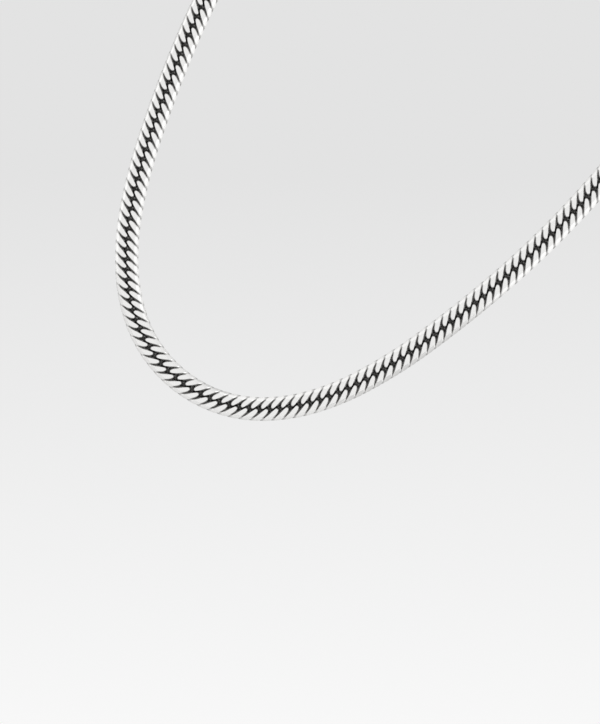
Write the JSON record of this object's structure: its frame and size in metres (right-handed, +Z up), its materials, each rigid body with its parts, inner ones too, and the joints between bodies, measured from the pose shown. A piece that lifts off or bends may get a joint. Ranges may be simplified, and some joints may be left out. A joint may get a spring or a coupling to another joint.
{
  "type": "curb chain necklace",
  "caption": "Closed necklace of interlocking twisted double curb links with ground faces, joined at the nape by a plain box clasp.",
  "frame": {"origin": "at the nape, on the middle of the clasp's inner side, where the chain sits on a neck", "axes": "+Z up along the loop's line of symmetry, away from the hanging chain; -Y towards the viewer, out of the chain's front face; +X to the viewer's right"},
  "size_m": [0.1542, 0.0036, 0.2055],
  "materials": {
    "link_metal": "polished silver, oxidised dark in the recesses",
    "clasp_metal": "polished silver, lightly brushed"
  },
  "bodies": {
    "root": {"chain_left": "link_metal", "chain_right": "link_metal", "clasp": "clasp_metal"}
  },
  "joints": []
}
